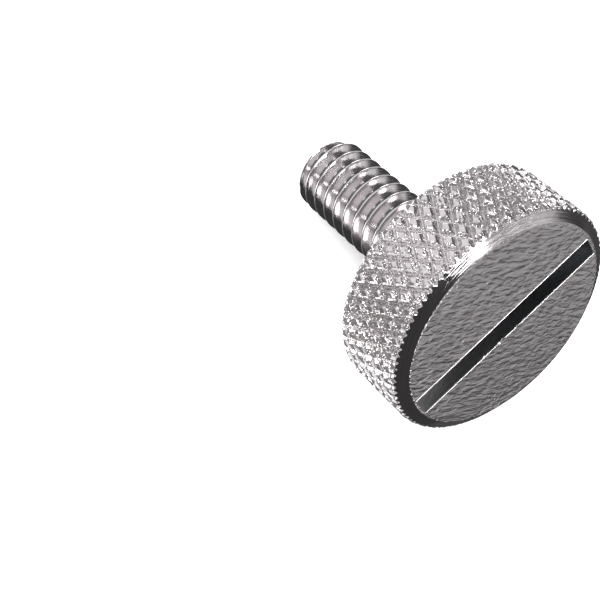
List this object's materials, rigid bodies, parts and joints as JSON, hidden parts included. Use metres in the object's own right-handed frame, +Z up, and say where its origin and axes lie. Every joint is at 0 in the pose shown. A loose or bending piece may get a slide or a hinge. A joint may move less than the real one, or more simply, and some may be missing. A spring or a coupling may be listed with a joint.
{
  "type": "thumb screw",
  "caption": "Thumb screw with a diamond-knurled round head, a saw-cut slot across its face and a threaded shank.",
  "frame": {"origin": "on the floor under the middle of the screw as it lies, at the bottom centre of its bounding box", "axes": "+X along the floor from the tip towards the head, +Y across the screw, +Z up; the screw's own axis rises from the tip to the slotted face in the XZ plane"},
  "size_m": [0.0252, 0.0196, 0.0202],
  "materials": {
    "nickel_plate": "nickel plate over turned steel, softly polished"
  },
  "bodies": {
    "root": {"thumb_screw": "nickel_plate"}
  },
  "joints": []
}
